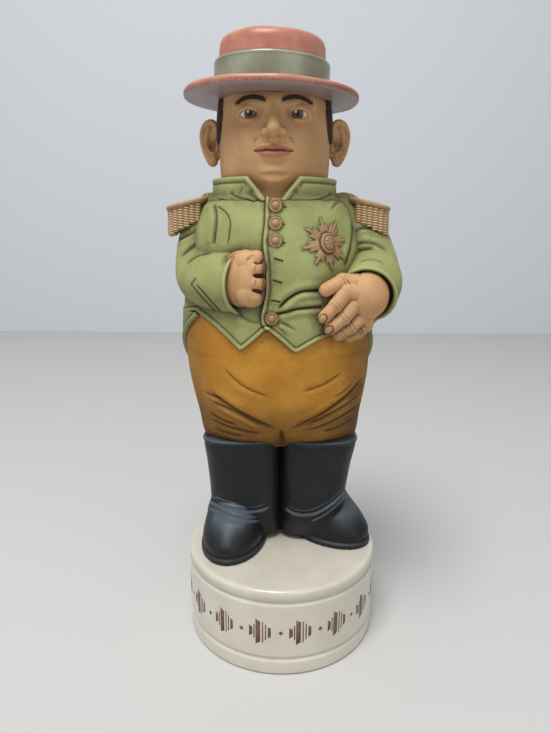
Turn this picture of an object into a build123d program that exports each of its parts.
from build123d import *
import math
import os

# A figural liquor decanter in slip-cast, hand-painted earthenware. A stout officer in a tail coat
# stands on a round glazed plinth. The coat and the breeches are the hollow flask. The head, with its
# straw hat, lifts off as the stopper: a peg under it turns in a cork that plugs the pouring neck.
# +Z is up, the figure faces -Y, and its right hand is at -X. The origin is the middle of the felt
# that the plinth stands on. All sizes are in millimetres.

# Driving sizes
plinth_diameter = 130.0
plinth_height = 60.0
boot_height = 79.5
breeches_height = 84.0
coat_height = 69.0
torso_width = 124.0
torso_depth = 98.0
collar_height = 12.5
head_width = 67.0
head_height = 56.0
hat_brim_diameter = 104.0
hat_crown_height = 28.5

# Clay and clearances
clay_wall = 5.0
seat_gap = 0.3
turning_gap = 0.05
overrun = 20.0
wide_cut = 400.0

# Plinth and its felt
felt_thickness = 1.5
felt_proud = 0.5
felt_rebate_gap = 0.2
foot_land = 4.0
plinth_top_round = 3.0
groove_radius = 1.5
groove_height_shares = (0.19, 0.86)

# Boots: sizes, then where each one stands and points
boot_toe_out_degrees = {"right_boot": -97.0, "left_boot": -43.0}
boot_sole_length = {"right_boot": 73.0, "left_boot": 69.0}
boot_sole_width = 43.0
boot_sole_thickness = 4.0
boot_sole_margin = 1.2
boot_heel_x = {"right_boot": -28.5, "left_boot": 7.0}
boot_heel_y = 35.0
boot_parting_x = -1.0
boot_shaft_width = {"right_boot": 50.0, "left_boot": 46.5}
boot_shaft_depth = 47.0
boot_shaft_y = 10.0
boot_shaft_round = 15.0
boot_rim_flare = {"right_boot": 4.0, "left_boot": 7.0}
boot_pocket = 1.5
boot_wall = 7.0
boot_ankle_share = 0.42
boot_foot_shares = [  # height, length, width, and how far back the middle lies, of the sole
    (0.00, 1.00, 1.00, 0.00),
    (0.11, 0.98, 0.98, 0.00),
    (0.24, 0.88, 0.92, 0.05),
    (0.34, 0.72, 0.86, 0.12),
    (0.46, 0.58, 0.80, 0.17),
]

# Torso: the flask's form, from the pocket in the boots up to the shoulders
torso_foot_x = -1.5
torso_foot_y = 8.0
torso_lean_x = -4.0
torso_lean_y = -6.0
torso_shares = [  # height, half width, half depth
    (0.00, 0.80, 0.50),
    (0.08, 0.86, 0.70),
    (0.18, 0.915, 0.86),
    (0.30, 0.96, 0.955),
    (0.43, 0.97, 1.00),
    (0.55, 0.95, 0.99),
    (0.68, 0.91, 0.94),
    (0.80, 0.85, 0.88),
    (0.90, 0.79, 0.83),
    (0.96, 0.72, 0.80),
    (1.00, 0.65, 0.79),
]

# Coat: cloth thickness over the flask, skirt, placket and tails
coat_cloth = 1.5
coat_edge = 1.6
placket_width = 5.0
placket_x = -11.0
skirt_shares = [  # half width of the torso across, and breeches height down from the waist
    (-0.80, 0.00),
    (-0.27, 0.21),
    (-0.24, 0.215),
    (-0.065, 0.04),
    (0.19, 0.225),
    (0.22, 0.225),
    (0.62, 0.00),
]
tail_cloth = 2.0
tail_slit = 3.0
tail_shares = [  # half depth of the torso back from its middle, and breeches height down
    (-0.62, 0.00),
    (-0.12, 0.225),
    (0.20, 0.42),
    (0.62, 0.86),
    (1.20, 0.86),
]
tail_slit_share = 0.30
breast_bulge_width = 30.0
breast_bulge_depth = 22.0
breast_bulge_height = 46.0
breast_bulge_shares = (0.03, -0.86, 0.72)

# Sleeves: points on the torso (half widths across, half depths forward, torso heights up)
shoulder_radius = 15.5
elbow_radius = 18.0
cuff_radius = 16.5
cuff_bore_radius = 14.0
cuff_bore_depth = 5.0
sleeve_shares = {
    "right_sleeve": [(-0.76, 0.00, 0.885), (-0.71, -0.20, 0.705), (-0.32, -0.78, 0.69)],
    "left_sleeve": [(0.84, 0.00, 0.885), (0.955, -0.22, 0.71), (0.86, -0.80, 0.655)],
}

# Hands: chains of joints on the torso, and finger sizes
finger_radius = 4.0
fingertip_radius = 3.6
palm_radius = 8.0
knuckle_radius = 5.0
left_wrist_shares = (0.875, -0.82, 0.647)
left_finger_shares = {  # knuckle, middle joint, tip
    "index": [(0.656, -0.947, 0.666), (0.545, -0.978, 0.615), (0.438, -0.985, 0.569)],
    "middle": [(0.724, -0.924, 0.616), (0.628, -0.953, 0.568), (0.490, -0.972, 0.525)],
    "ring": [(0.792, -0.867, 0.570), (0.697, -0.896, 0.526), (0.583, -0.922, 0.499)],
    "little": [(0.857, -0.765, 0.527), (0.773, -0.800, 0.497), (0.684, -0.845, 0.486)],
    "thumb": [(0.738, -0.844, 0.696), (0.624, -0.880, 0.701), (0.454, -0.945, 0.673)],
}
right_wrist_shares = (-0.38, -0.84, 0.715)
right_knuckle_shares = [
    (-0.21, -1.00, 0.772),
    (-0.19, -1.04, 0.728),
    (-0.19, -1.04, 0.683),
    (-0.21, -0.99, 0.640),
]

# Collar, pouring neck, cork and peg
collar_radius = 38.0
collar_thickness = 3.4
collar_notch_half_width = 14.0
collar_notch_floor = 0.6
neck_bore_radius = 13.0
neck_wall = 4.0
neck_rise = 9.0
neck_spigot_wall = 2.5
neck_spigot_drop = 10.0
cork_length = 15.0
cork_flange_radius = 16.0
cork_flange_thickness = 2.4
cork_floor = 3.5
peg_radius = 6.0
peg_plate_thickness = 4.0

# Epaulettes and their cord fringe
epaulette_length = 27.0
epaulette_depth = 30.0
epaulette_thickness = 3.6
epaulette_slope_degrees = 14.0
epaulette_strap_length = 12.0
epaulette_strap_width = 11.0
epaulette_shares = {
    "right_epaulette": (-0.86, 0.00, 0.975),
    "left_epaulette": (0.93, 0.00, 0.975),
}
fringe_cord_radius = 2.1
fringe_cord_length = 12.5
fringe_cord_count = 10
fringe_sweep_degrees = 190.0
fringe_flare_degrees = 9.0
fringe_shortest_share = 0.35

# Star, buttons and their places round the torso
star_points = 8
star_radius = 13.5
star_valley_share = 0.56
star_thickness = 3.0
star_boss_radius = 5.6
star_bearing_degrees = -54.0
star_height_share = 0.855
button_radius = 3.7
button_dome_share = 0.62
button_bearing_degrees = -91.0
button_height_shares = (0.972, 0.910, 0.851, 0.570)

# Head, ears, hair: the head's half widths and half depths as shares of half its width
head_wall = 4.0
head_shares = [  # height, half width, half depth
    (0.00, 0.985, 0.990),
    (0.22, 0.990, 1.000),
    (0.34, 0.995, 1.020),
    (0.55, 1.000, 1.045),
    (0.75, 1.000, 1.055),
    (0.90, 0.980, 1.040),
    (1.08, 0.940, 1.000),
]
face_shares = {  # across, forward and up, then half sizes, of half the head width and its height
    "chin": ((0.00, -0.93, 0.335), (0.30, 0.20, 0.095)),
    "jaw_right": ((-0.62, -0.62, 0.34), (0.34, 0.36, 0.13)),
    "jaw_left": ((0.62, -0.62, 0.34), (0.34, 0.36, 0.13)),
    "mouth": ((0.00, -0.97, 0.46), (0.40, 0.16, 0.085)),
    "nose_tip": ((0.00, -1.17, 0.60), (0.15, 0.16, 0.065)),
    "nostril_right": ((-0.15, -1.09, 0.59), (0.11, 0.12, 0.045)),
    "nostril_left": ((0.15, -1.09, 0.59), (0.11, 0.12, 0.045)),
    "cheek_right": ((-0.52, -0.78, 0.62), (0.34, 0.28, 0.12)),
    "cheek_left": ((0.52, -0.78, 0.62), (0.34, 0.28, 0.12)),
    "brow": ((0.00, -0.92, 0.925), (0.66, 0.18, 0.055)),
    "eye_right": ((-0.38, -0.82, 0.815), (0.19, 0.19, 0.105)),
    "eye_left": ((0.38, -0.82, 0.815), (0.19, 0.19, 0.105)),
}
nose_bridge_shares = ((0.00, -1.00, 0.85), 0.085)
nose_end_shares = ((0.00, -1.17, 0.62), 0.125)
ear_height = 27.0
ear_width = 15.0
ear_thickness = 7.0
ear_angle_degrees = 28.0
ear_back_share = 0.10
ear_out_share = 1.15
ear_up_share = 0.60
ear_bowl_share = 0.66
hair_thickness = 1.6
hair_front_share = -0.42
hair_low_share = 0.36

# Hat
hat_offset_x = -2.0
hat_offset_y = 0.0
hat_tilt_degrees = 1.4
hat_brim_thickness = 6.0
hat_brim_round = 2.8
hat_crown_radius = 32.6
hat_crown_taper = 2.0
hat_crown_round = 6.0
hat_wall = 4.0
band_height = 15.0
band_thickness = 1.8

# Heights and places that follow
plinth_floor = felt_proud
plinth_top = plinth_height
torso_bottom = plinth_top + boot_height - boot_pocket
torso_height = breeches_height + coat_height
waist = torso_bottom + breeches_height
shoulder = torso_bottom + torso_height
head_bottom = shoulder + seat_gap
neck_x = torso_foot_x + torso_lean_x
neck_y = torso_foot_y + torso_lean_y
neck_rim = shoulder + neck_rise
cork_seat = neck_rim + seat_gap
peg_plate_bottom = cork_seat + cork_flange_thickness + seat_gap


# General helpers
def slab(low, high):
    """Everything between two heights."""
    return Pos(0, 0, (low + high) / 2) * Box(wide_cut, wide_cut, high - low)


def prism_from_front(points):
    """A flat outline in X and Z, pushed through from front to back of the torso's middle."""
    outline = make_face(Polyline(*points, close=True))
    return extrude(Plane.XZ * outline, amount=wide_cut)


def ellipsoid(centre, half_sizes):
    return Pos(*centre) * scale(Sphere(1), by=half_sizes)


def limb(start, end, start_radius, end_radius):
    """A round-ended taper between two joints."""
    length = (end - start).length
    axis = Plane(origin=start, z_dir=(end - start).normalized())
    bottom_aligned = (Align.CENTER, Align.CENTER, Align.MIN)
    if abs(start_radius - end_radius) < turning_gap:
        shaft = Cylinder(start_radius, length, align=bottom_aligned)
    else:
        shaft = Cone(start_radius, end_radius, length, align=bottom_aligned)
    return axis * shaft + Pos(*start) * Sphere(start_radius) + Pos(*end) * Sphere(end_radius)


def clear_of(shape, blockers):
    for blocker in blockers:
        shape = shape - blocker
    return shape


# The torso's form
def torso_centre(height_share):
    return Vector(
        torso_foot_x + torso_lean_x * height_share,
        torso_foot_y + torso_lean_y * height_share,
        torso_bottom + torso_height * height_share,
    )


def torso_point(shares):
    across, forward, up = shares
    return torso_centre(up) + Vector(across * torso_width / 2, forward * torso_depth / 2, 0)


def torso_radii(height_share):
    """Half width and half depth of the flask at a height, between the rows of the table."""
    for lower, upper in zip(torso_shares, torso_shares[1:]):
        if lower[0] <= height_share <= upper[0]:
            blend = (height_share - lower[0]) / (upper[0] - lower[0])
            width_share = lower[1] + blend * (upper[1] - lower[1])
            depth_share = lower[2] + blend * (upper[2] - lower[2])
            return width_share * torso_width / 2, depth_share * torso_depth / 2


def torso_form(grow=0):
    """The smooth outer form of the flask, grown outwards by a thickness."""
    rings = []
    for up, width_share, depth_share in torso_shares:
        half_width = width_share * torso_width / 2 + grow
        half_depth = depth_share * torso_depth / 2 + grow
        rings.append(Plane(origin=torso_centre(up)) * Ellipse(half_width, half_depth))
    return loft(rings)


def torso_skin(bearing_degrees, height_share, grow):
    """A plane on the torso's surface, its normal pointing outwards."""
    half_width, half_depth = torso_radii(height_share)
    cosine = math.cos(math.radians(bearing_degrees))
    sine = math.sin(math.radians(bearing_degrees))
    out = Vector(cosine / half_width, sine / half_depth, 0).normalized()
    place = torso_centre(height_share) + Vector(
        cosine * (half_width + grow), sine * (half_depth + grow), 0
    )
    return Plane(origin=place, x_dir=Vector(-out.Y, out.X, 0), z_dir=out)


flask_form = torso_form()
flask_hollow = torso_form(-clay_wall)
coat_form = torso_form(coat_cloth)


# Plinth
def make_plinth():
    radius = plinth_diameter / 2
    drum_height = plinth_top - plinth_floor
    on_floor = (Align.CENTER, Align.CENTER, Align.MIN)
    drum = Pos(0, 0, plinth_floor) * Cylinder(radius, drum_height, align=on_floor)
    drum = fillet(drum.edges().sort_by(Axis.Z)[-1:], plinth_top_round)
    hollow_height = drum_height - clay_wall
    drum -= Pos(0, 0, plinth_floor) * Cylinder(
        radius - clay_wall - foot_land / 2, hollow_height, align=on_floor
    )
    rebate_depth = felt_thickness - felt_proud
    drum -= Pos(0, 0, plinth_floor) * Cylinder(
        felt_radius() + felt_rebate_gap, rebate_depth, align=on_floor
    )
    for height_share in groove_height_shares:
        drum -= Pos(0, 0, plinth_height * height_share) * Torus(radius, groove_radius)
    return drum


def felt_radius():
    return plinth_diameter / 2 - clay_wall + foot_land / 2


def make_base_felt():
    return Cylinder(felt_radius(), felt_thickness, align=(Align.CENTER, Align.CENTER, Align.MIN))


# Boots
def boot_place(name, back_share=0):
    """The middle of the sole, or a point further back along it by a share of its length."""
    toe_out = math.radians(boot_toe_out_degrees[name])
    from_heel = boot_sole_length[name] * (0.5 - back_share)
    return (
        boot_heel_x[name] + math.cos(toe_out) * from_heel,
        boot_heel_y + math.sin(toe_out) * from_heel,
    )


def make_boot(name):
    length = boot_sole_length[name]
    toe_out = boot_toe_out_degrees[name]
    side = -1 if name == "right_boot" else 1
    foot_rings = []
    for up, long_share, wide_share, back_share in boot_foot_shares:
        x, y = boot_place(name, back_share)
        z = plinth_top + boot_height * up
        ring = Ellipse(length * long_share / 2, boot_sole_width * wide_share / 2)
        foot_rings.append(Location((x, y, z), (0, 0, toe_out)) * ring)
    foot = loft(foot_rings)
    x, y = boot_place(name)
    sole_outline = Ellipse(length / 2 + boot_sole_margin, boot_sole_width / 2 + boot_sole_margin)
    sole = extrude(Location((x, y, plinth_top), (0, 0, toe_out)) * sole_outline, boot_sole_thickness)
    shaft_width = boot_shaft_width[name]
    shaft_x = boot_parting_x + side * shaft_width / 2
    shaft_rings = []
    for up, flare in ((boot_ankle_share, 0), (1, boot_rim_flare[name])):
        ring = RectangleRounded(shaft_width + flare, boot_shaft_depth + flare / 2, boot_shaft_round)
        ring_x = shaft_x + side * flare / 2
        shaft_rings.append(Pos(ring_x, boot_shaft_y, plinth_top + boot_height * up) * ring)
    ankle = RectangleRounded(shaft_width, boot_shaft_depth, boot_shaft_round)
    ankle_bottom = Pos(shaft_x, boot_shaft_y, plinth_top + boot_sole_thickness) * ankle
    ankle_block = extrude(ankle_bottom, boot_height * boot_ankle_share - boot_sole_thickness)
    boot = foot + sole + ankle_block + loft(shaft_rings)
    hollow = RectangleRounded(
        shaft_width - 2 * boot_wall, boot_shaft_depth - 2 * boot_wall, boot_shaft_round - boot_wall
    )
    hollow_floor = plinth_top + boot_sole_thickness + boot_wall
    hollow_height = torso_bottom - hollow_floor
    boot -= extrude(Pos(shaft_x, boot_shaft_y, hollow_floor) * hollow, hollow_height)
    half_space = Pos(boot_parting_x - side * wide_cut / 2, 0, wide_cut / 2)
    boot -= half_space * Box(wide_cut, wide_cut, wide_cut)
    return boot - flask_form


# Flask
def make_breeches():
    cup = flask_form & slab(torso_bottom, waist)
    return cup - (flask_hollow & slab(torso_bottom + clay_wall, waist + overrun))


def waist_outline(shares):
    return [
        (torso_centre(0).X + torso_lean_x / 2 + across * torso_width / 2,
         waist - down * breeches_height)
        for across, down in shares
    ]


def make_coat_layers():
    """The jacket and what stands proud of it: the skirt's flap, the placket and the breast."""
    jacket = coat_form & slab(waist, shoulder)
    flap = prism_from_front(waist_outline(skirt_shares)) & torso_form(coat_edge)
    left, right = placket_x - placket_width / 2, placket_x + placket_width / 2
    strip = prism_from_front([(left, shoulder), (right, shoulder), (right, waist), (left, waist)])
    placket = strip & torso_form(coat_cloth + coat_edge / 2) & slab(waist, shoulder)
    bulge_centre = torso_point(breast_bulge_shares)
    bulge_half_sizes = (breast_bulge_width / 2, breast_bulge_depth / 2, breast_bulge_height / 2)
    right_of_placket = Pos(left + wide_cut / 2, 0, bulge_centre.Z) * Box(wide_cut, wide_cut, wide_cut)
    bulge = ellipsoid(bulge_centre, bulge_half_sizes) & right_of_placket
    return [jacket, flap - flask_form, placket, bulge & slab(waist, shoulder)]


def make_coat(layers):
    jacket = layers[0]
    for layer in layers[1:]:
        jacket += layer
    jacket -= flask_hollow & slab(waist - overrun, shoulder - clay_wall)
    return jacket - Pos(neck_x, neck_y, shoulder) * Cylinder(neck_spigot_radius(), 2 * overrun)


def make_coat_tails():
    points = [
        (torso_centre(1 - coat_height / torso_height).Y + back * torso_depth / 2,
         waist - down * breeches_height)
        for back, down in tail_shares
    ]
    back_edge = points[-1][0]
    points.append((back_edge, waist))
    side_outline = make_face(Polyline(*points, close=True))
    through = extrude(Plane.YZ * side_outline, amount=wide_cut / 2, both=True)
    tails = (torso_form(tail_cloth) & through) - flask_form
    slit_top = waist - tail_slit_share * breeches_height
    slit = Pos(neck_x - torso_lean_x / 2, wide_cut / 2, slit_top - wide_cut / 2)
    return tails - slit * Box(tail_slit, wide_cut, wide_cut)


# Sleeves
def sleeve_path(name):
    return [torso_point(shares) for shares in sleeve_shares[name]]


def cuff_plane(name):
    """The plane of the sleeve's mouth, its normal pointing out of the sleeve."""
    elbow, wrist = sleeve_path(name)[1:]
    return Plane(origin=wrist, z_dir=(wrist - elbow).normalized())


def sleeve_form(name):
    top, elbow, wrist = sleeve_path(name)
    arm = limb(top, elbow, shoulder_radius, elbow_radius)
    arm += limb(elbow, wrist, elbow_radius, cuff_radius)
    beyond = extrude(cuff_plane(name) * Circle(wide_cut / 2), wide_cut / 2)
    return arm - beyond


def make_sleeve(name):
    mouth = extrude(cuff_plane(name) * Circle(cuff_bore_radius), -cuff_bore_depth)
    return clear_of(sleeve_form(name) - mouth, body_blocks)


# Hands
def make_left_hand():
    wrist = torso_point(left_wrist_shares)
    hand = Pos(*wrist) * Sphere(palm_radius + knuckle_radius / 2)
    for knuckle_shares, joint_shares, tip_shares in left_finger_shares.values():
        knuckle, joint, tip = (torso_point(s) for s in (knuckle_shares, joint_shares, tip_shares))
        hand += limb(wrist, knuckle, palm_radius, knuckle_radius)
        hand += limb(knuckle, joint, knuckle_radius, finger_radius)
        hand += limb(joint, tip, finger_radius, fingertip_radius)
    return clear_of(hand, body_blocks)


def make_right_hand():
    wrist = torso_point(right_wrist_shares)
    hand = Pos(*wrist) * Sphere(palm_radius + knuckle_radius)
    for shares in right_knuckle_shares:
        hand += limb(wrist, torso_point(shares), palm_radius + knuckle_radius / 2, palm_radius)
    return clear_of(hand, body_blocks)


# Collar, pouring neck, cork and peg
def neck_spigot_radius():
    return neck_bore_radius + neck_spigot_wall


def neck_tube(low, high, outer, inner):
    middle = Pos(neck_x, neck_y, (low + high) / 2)
    return middle * Cylinder(outer, high - low) - middle * Cylinder(inner, high - low + overrun)


def make_collar():
    ring = neck_tube(shoulder, shoulder + collar_height, collar_radius, collar_radius - collar_thickness)
    top_edges = ring.edges().group_by(Axis.Z)[-1]
    ring = fillet(top_edges, collar_thickness / 3)
    half_width = collar_notch_half_width
    notch = [
        (neck_x - half_width, shoulder + collar_height + overrun),
        (neck_x - half_width, shoulder + collar_height),
        (neck_x, shoulder + collar_notch_floor),
        (neck_x + half_width, shoulder + collar_height),
        (neck_x + half_width, shoulder + collar_height + overrun),
    ]
    return ring - prism_from_front(notch)


def make_pouring_neck():
    tube = neck_tube(shoulder, neck_rim, neck_bore_radius + neck_wall, neck_bore_radius)
    spigot_bottom = shoulder - neck_spigot_drop
    return tube + neck_tube(spigot_bottom, shoulder, neck_spigot_radius(), neck_bore_radius)


def make_cork():
    plug_top = cork_seat
    plug_bottom = plug_top - cork_length
    on_axis = Pos(neck_x, neck_y, (plug_bottom + plug_top) / 2)
    plug = on_axis * Cylinder(neck_bore_radius - turning_gap, cork_length)
    flange = Pos(neck_x, neck_y, plug_top + cork_flange_thickness / 2)
    plug += flange * Cylinder(cork_flange_radius, cork_flange_thickness)
    bore_bottom = plug_bottom + cork_floor
    bore_top = plug_top + cork_flange_thickness
    bore = Pos(neck_x, neck_y, (bore_bottom + bore_top) / 2)
    return plug - bore * Cylinder(peg_radius + turning_gap, bore_top - bore_bottom)


def make_stopper_peg():
    plate_top = peg_plate_bottom + peg_plate_thickness
    plate = head_hollow & slab(peg_plate_bottom, plate_top)
    peg_bottom = cork_seat - cork_length + cork_floor + seat_gap
    peg = Pos(neck_x, neck_y, (peg_bottom + plate_top) / 2)
    return plate + peg * Cylinder(peg_radius, plate_top - peg_bottom)


# Epaulettes
def epaulette_plane(name):
    side = -1 if name == "right_epaulette" else 1
    place = torso_point(epaulette_shares[name])
    slope = math.radians(epaulette_slope_degrees)
    out_dir = Vector(side * math.cos(slope), 0, -math.sin(slope))
    up_dir = Vector(side * math.sin(slope), 0, math.cos(slope))
    return Plane(origin=place, x_dir=out_dir, z_dir=up_dir)


def make_epaulette(name):
    plane = epaulette_plane(name)
    pad = extrude(Ellipse(epaulette_depth / 2, epaulette_length / 2, rotation=90), epaulette_thickness)
    pad = fillet(pad.edges().sort_by(Axis.Z)[-1:], epaulette_thickness / 3)
    strap_middle = -(epaulette_length + epaulette_strap_length) / 2 + epaulette_thickness
    strap = Pos(strap_middle, 0, epaulette_thickness / 2) * Box(
        epaulette_strap_length, epaulette_strap_width, epaulette_thickness
    )
    board = plane * (pad + strap)
    collar_block = Pos(neck_x, neck_y, shoulder) * Cylinder(collar_radius + seat_gap, wide_cut)
    return clear_of(board - collar_block, body_blocks + list(sleeve_forms.values()))


def make_fringe(name):
    plane = epaulette_plane(name)
    cords = []
    for index in range(fringe_cord_count):
        turn = math.radians(fringe_sweep_degrees * (index / (fringe_cord_count - 1) - 0.5))
        inset = fringe_cord_radius
        x = math.cos(turn) * (epaulette_length / 2 - inset)
        y = math.sin(turn) * (epaulette_depth / 2 - inset)
        flare = math.radians(fringe_flare_degrees)
        down = Vector(math.cos(turn) * math.sin(flare), math.sin(turn) * math.sin(flare), -1)
        root = Vector(x, y, -fringe_cord_radius / 2)
        tip = root + down * fringe_cord_length
        cord_plane = Plane(origin=root, z_dir=down.normalized())
        cord = cord_plane * Cylinder(
            fringe_cord_radius - turning_gap, fringe_cord_length,
            align=(Align.CENTER, Align.CENTER, Align.MIN),
        )
        cord += Pos(*tip) * Sphere(fringe_cord_radius - turning_gap)
        cords.append(plane * cord)
    return cords


def trim_fringe(cords, blockers):
    """The cords' free parts, without the slivers left where a cord runs into the sleeve."""
    kept = []
    for cord in cords:
        pieces = clear_of(cord, blockers).solids()
        kept += [piece for piece in pieces if piece.volume > cord.volume * fringe_shortest_share]
    return kept


# Star and buttons
def make_star_medal():
    skin = torso_skin(star_bearing_degrees, star_height_share, coat_cloth)
    corners = []
    for step in range(2 * star_points):
        reach = star_radius if step % 2 == 0 else star_radius * star_valley_share
        turn = math.pi * step / star_points
        corners.append((reach * math.sin(turn), reach * math.cos(turn)))
    star = extrude(make_face(Polyline(*corners, close=True)), 2 * star_thickness)
    star = Pos(0, 0, -star_thickness - star_thickness / 2) * star
    boss_half_height = star_thickness
    boss = ellipsoid((0, 0, star_thickness / 2), (star_boss_radius, star_boss_radius, boss_half_height))
    return clear_of(skin * (star + boss), coat_layers + all_sleeves)


def make_coat_buttons():
    buttons = []
    half_height = button_radius * button_dome_share
    for height_share in button_height_shares:
        skin = torso_skin(button_bearing_degrees, height_share, coat_cloth)
        dome = ellipsoid((0, 0, coat_edge / 2), (button_radius, button_radius, half_height))
        buttons.append(clear_of(skin * dome, coat_layers))
    return buttons


# Head
def head_place(shares):
    across, forward, up = shares
    half = head_width / 2
    return Vector(neck_x + across * half, neck_y + forward * half, head_bottom + up * head_height)


def head_form(grow=0):
    rings = []
    for up, width_share, depth_share in head_shares:
        half = head_width / 2
        # the longer radius runs front to back, so each ring is drawn that way and turned
        ring = Ellipse(half * depth_share + grow, half * width_share + grow, rotation=90)
        rings.append(Pos(*head_place((0, 0, up))) * ring)
    return loft(rings)


def head_blob(entry):
    shares, size_shares = entry
    across, forward, up = size_shares
    half = head_width / 2
    return ellipsoid(head_place(shares), (across * half, forward * half, up * head_height))


hat_base = head_place((0, 0, 1)) + Vector(hat_offset_x, hat_offset_y, 0)
hat_frame = Location(tuple(hat_base), (0, hat_tilt_degrees, 0))
under_hat = hat_frame * Pos(0, 0, wide_cut / 2) * Box(wide_cut, wide_cut, wide_cut)
head_hollow = head_form(-head_wall)


def make_head():
    skull = head_form()
    for entry in face_shares.values():
        skull += head_blob(entry)
    (bridge, bridge_share), (tip, tip_share) = nose_bridge_shares, nose_end_shares
    half = head_width / 2
    skull += limb(head_place(bridge), head_place(tip), bridge_share * half, tip_share * half)
    return (skull & slab(head_bottom, head_bottom + 2 * head_height)) - head_hollow - under_hat


def ear_plane(side):
    place = head_place((side * ear_out_share, ear_back_share, ear_up_share))
    turn = math.radians(ear_angle_degrees)
    out = Vector(side * math.cos(turn), math.sin(turn), 0)
    return Plane(origin=place, x_dir=out, z_dir=Vector(side * math.sin(turn), -math.cos(turn), 0))


def make_ear(side, head_solid):
    half_thickness = ear_thickness / 2
    shell = ellipsoid((0, 0, 0), (ear_width / 2, ear_height / 2, half_thickness))
    bowl = ellipsoid(
        (0, 0, half_thickness),
        (ear_width / 2 * ear_bowl_share, ear_height / 2 * ear_bowl_share, half_thickness),
    )
    return ear_plane(side) * (shell - bowl) - head_solid - under_hat


def make_hair(head_solid, ears):
    cap = head_form(hair_thickness) & slab(
        head_place((0, 0, hair_low_share)).Z, head_place((0, 0, 2)).Z
    )
    front_y = neck_y + hair_front_share * head_width / 2
    face_side = Pos(neck_x, front_y - wide_cut / 2, head_bottom) * Box(wide_cut, wide_cut, wide_cut)
    return cap - face_side - head_solid - ears - under_hat - head_hollow


# Hat
def make_hat():
    on_base = (Align.CENTER, Align.CENTER, Align.MIN)
    brim = Cylinder(hat_brim_diameter / 2, hat_brim_thickness, align=on_base)
    brim = fillet(brim.edges().filter_by(GeomType.CIRCLE), hat_brim_round)
    crown = Pos(0, 0, hat_brim_thickness / 2) * Cone(
        hat_crown_radius,
        hat_crown_radius - hat_crown_taper,
        hat_crown_height + hat_brim_thickness / 2,
        align=on_base,
    )
    crown = fillet(crown.edges().sort_by(Axis.Z)[-1:], hat_crown_round)
    inner_radius = hat_crown_radius - hat_crown_taper - hat_wall
    hollow_height = hat_brim_thickness + hat_crown_height - hat_wall
    hollow = Cylinder(inner_radius, hollow_height, align=on_base)
    hollow = fillet(hollow.edges().sort_by(Axis.Z)[-1:], hat_crown_round - hat_wall / 2)
    return brim + crown - hollow


def make_hat_band(hat):
    on_base = (Align.CENTER, Align.CENTER, Align.MIN)
    ring = Pos(0, 0, hat_brim_thickness) * Cone(
        hat_crown_radius + band_thickness,
        hat_crown_radius + band_thickness - hat_crown_taper / 2,
        band_height,
        align=on_base,
    )
    core = Cylinder(hat_crown_radius - hat_crown_taper - hat_wall / 2, wide_cut)
    return ring - core - hat


# Assembly
base_felt = make_base_felt()
plinth = make_plinth()
breeches = make_breeches()
coat_layers = make_coat_layers()
coat_tails = clear_of(make_coat_tails(), coat_layers)
body_blocks = coat_layers + [flask_form & slab(torso_bottom, waist), coat_tails]
sleeve_forms = {name: sleeve_form(name) for name in sleeve_shares}
sleeves = {name: make_sleeve(name) for name in sleeve_shares}
all_sleeves = list(sleeves.values())
head = make_head()
ears = {"right_ear": make_ear(-1, head + head_hollow), "left_ear": make_ear(1, head + head_hollow)}
hat = make_hat()
band = make_hat_band(hat)
epaulettes = {name: make_epaulette(name) for name in epaulette_shares}

parts = {
    "base_felt": base_felt,
    "plinth": plinth,
    "right_boot": make_boot("right_boot"),
    "left_boot": make_boot("left_boot"),
    "breeches": breeches,
    "coat": make_coat(coat_layers),
    "coat_tails": coat_tails,
    "right_sleeve": sleeves["right_sleeve"],
    "left_sleeve": sleeves["left_sleeve"],
    "right_hand": clear_of(make_right_hand(), all_sleeves),
    "left_hand": clear_of(make_left_hand(), all_sleeves),
    "collar": make_collar(),
    "pouring_neck": make_pouring_neck(),
    "star_medal": make_star_medal(),
    "coat_buttons": make_coat_buttons(),
    "cork": make_cork(),
    "stopper_peg": make_stopper_peg(),
    "head": head,
    "right_ear": ears["right_ear"],
    "left_ear": ears["left_ear"],
    "hair": make_hair(head, ears["right_ear"] + ears["left_ear"]),
    "hat": hat_frame * hat,
    "hat_band": hat_frame * band,
}
for name, board in epaulettes.items():
    parts[name] = board
    side_name = name.split("_")[0]
    blockers = [board] + all_sleeves + body_blocks
    parts[side_name + "_fringe"] = trim_fringe(make_fringe(name), blockers)

os.makedirs("parts", exist_ok=True)
for name, shape in parts.items():
    pieces = shape if isinstance(shape, list) else [shape]
    solids = [solid for piece in pieces for solid in piece.solids()]
    whole = solids[0] if len(solids) == 1 else Compound(children=solids)
    export_step(whole, f"parts/{name}.step")
